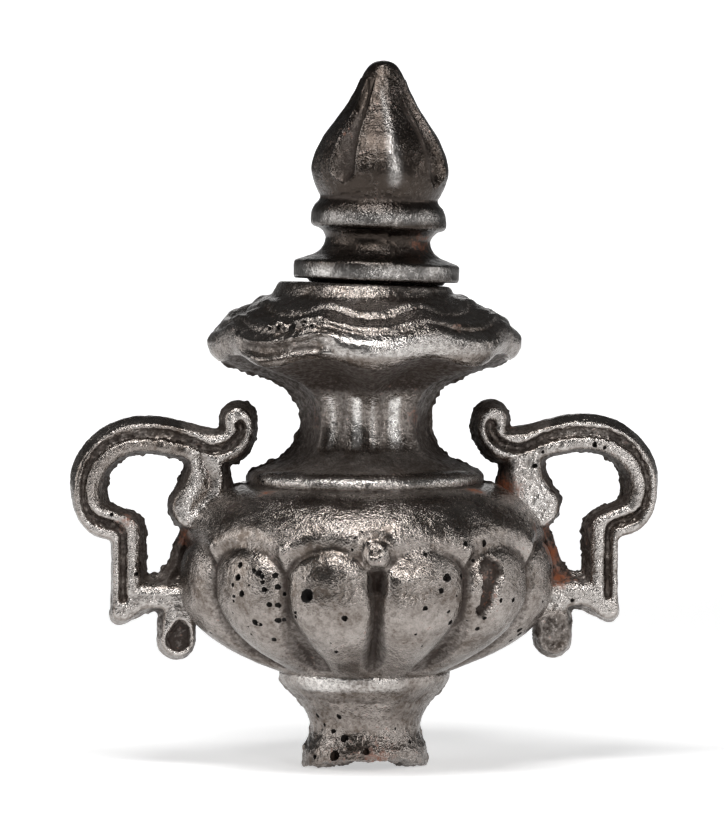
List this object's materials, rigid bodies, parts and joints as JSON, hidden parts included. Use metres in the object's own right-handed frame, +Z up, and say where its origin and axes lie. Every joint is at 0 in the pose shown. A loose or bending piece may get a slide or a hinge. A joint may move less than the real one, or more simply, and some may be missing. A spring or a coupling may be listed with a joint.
{
  "type": "urn finial",
  "caption": "Two-handled urn finial with scalloped rim, fluted neck, gadrooned belly and broken stem, with a loose four-sided bud leaning on its collar",
  "frame": {"origin": "middle of the urn's axis, on the surface that the broken stem stands on", "axes": "+Z up through the bud, +X towards the right handle, front faces -Y"},
  "size_m": [0.2542, 0.1604, 0.305],
  "materials": {
    "urn_iron": "dark brushed and waxed cast iron with blow holes, dirt in the hollows and rust specks",
    "bud_iron": "dark brushed and waxed cast iron, rust in the cove"
  },
  "bodies": {
    "root": {"urn": "urn_iron", "bud_finial": "bud_iron"}
  },
  "joints": []
}
